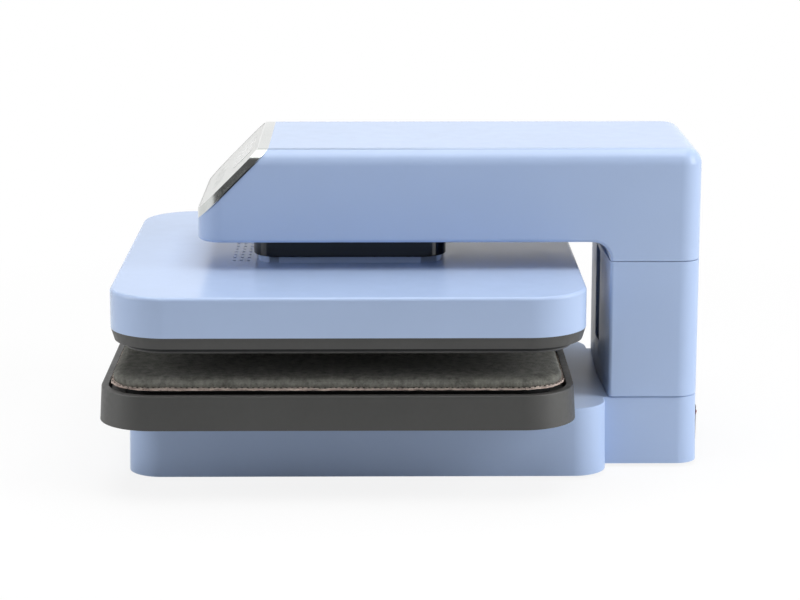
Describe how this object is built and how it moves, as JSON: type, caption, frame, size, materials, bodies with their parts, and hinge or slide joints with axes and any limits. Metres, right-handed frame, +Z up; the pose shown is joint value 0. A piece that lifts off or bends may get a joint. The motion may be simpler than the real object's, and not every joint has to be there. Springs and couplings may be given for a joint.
{
  "type": "automatic heat press",
  "caption": "Desk-top automatic heat press: motor-driven square platen under an arm, sliding tray with a soft pad, sloped control panel, column and base.",
  "frame": {"origin": "middle of the plan, on the surface that the feet stand on", "axes": "+Z up; -Y towards the user, where the sloped control panel is and the tray slides out; +Y towards the column; +X to the user's right"},
  "size_m": [0.402, 0.5186, 0.2812],
  "materials": {
    "blue_shell": "gloss moulded",
    "grey_plastic": "fine satin",
    "gloss_black": "high gloss",
    "black_plastic": "matt",
    "red_plastic": "gloss",
    "bright_trim": "polished",
    "panel_face": "satin glass look",
    "frame_steel": "zinc plated",
    "rail_steel": "rolled",
    "ground_steel": "ground",
    "motor_paint": "satin black",
    "bronze": "turned",
    "hot_plate_coating": "dark non-stick coat on cast aluminium",
    "mineral_board": "pressed fibre",
    "ceramic": "matt",
    "circuit_board": "lacquered",
    "foot_rubber": "matt",
    "pad_cloth": "heat resistant woven cloth",
    "pad_sponge": "silicone sponge"
  },
  "bodies": {
    "frame": {"base_shell": "blue_shell", "base_plate": "frame_steel", "rubber_feet": "foot_rubber", "foot_screws": "ground_steel", "base_screws": "ground_steel", "base_beam": "frame_steel", "column_posts": "frame_steel", "column_shell": "blue_shell", "column_vent": "black_plastic", "arm_housing": "blue_shell", "arm_bottom_cover": "blue_shell", "arm_beam": "frame_steel", "control_bezel": "bright_trim", "control_glass": "panel_face", "display_board": "circuit_board", "control_board": "circuit_board", "gearbox_pillars": "ground_steel", "gearbox_plate": "frame_steel", "gearbox_screws": "ground_steel", "drive_motor": "motor_paint", "lower_bearing": "ground_steel", "upper_bearing": "ground_steel", "guide_bushes": "bronze", "ram_shroud": "gloss_black", "power_inlet": "black_plastic", "switch_frame": "black_plastic", "power_supply": "circuit_board", "fixed_rail_left": "rail_steel", "fixed_rail_right": "rail_steel"},
    "platen": {"platen_cover": "blue_shell", "platen_skirt": "grey_plastic", "heating_plate": "hot_plate_coating", "heating_element": "ground_steel", "insulation_board": "mineral_board", "thermostat": "ceramic", "bridge_plate": "frame_steel", "plate_standoffs": "ground_steel", "guide_rods": "ground_steel", "rod_collars": "ground_steel", "drive_nut": "bronze", "ram_cover": "blue_shell"},
    "screw": {"lead_screw": "ground_steel", "drive_wheel": "ground_steel"},
    "pinion": {"drive_pinion": "ground_steel"},
    "tray": {"press_tray": "grey_plastic", "pad_core": "pad_sponge", "pad_cover": "pad_cloth", "runner_left": "rail_steel", "runner_right": "rail_steel"},
    "mid_rails": {"mid_rail_left": "rail_steel", "mid_rail_right": "rail_steel"},
    "rocker": {"power_rocker": "red_plastic"}
  },
  "joints": [
    {"name": "press_drive", "type": "slide", "parent": "frame", "child": "platen", "axis": [0, 0, -1], "range_m": [0, 0.0196]},
    {"name": "screw_turn", "type": "hinge", "parent": "frame", "child": "screw", "pos_m": [0, -0.049, 0.2], "axis": [0, 0, 1], "range_deg": [-10, 895]},
    {"name": "pinion_turn", "type": "hinge", "parent": "frame", "child": "pinion", "pos_m": [0, 0.0005, 0.2], "axis": [0, 0, 1], "range_deg": [-2370, 10]},
    {"name": "tray_slide", "type": "slide", "parent": "frame", "child": "tray", "axis": [0, -1, 0], "range_m": [0, 0.24]},
    {"name": "rail_slide", "type": "slide", "parent": "frame", "child": "mid_rails", "axis": [0, -1, 0], "range_m": [0, 0.12]},
    {"name": "rocker_tilt", "type": "hinge", "parent": "frame", "child": "rocker", "pos_m": [0.048, 0.2523, 0.031], "axis": [1, 0, 0], "range_deg": [0, 16]}
  ],
  "couplings": [
    {"joint": "screw_turn", "follows": "press_drive", "rad_per_m": 785.4},
    {"joint": "pinion_turn", "follows": "press_drive", "rad_per_m": -2094.4},
    {"joint": "rail_slide", "follows": "tray_slide", "ratio": 0.5}
  ]
}
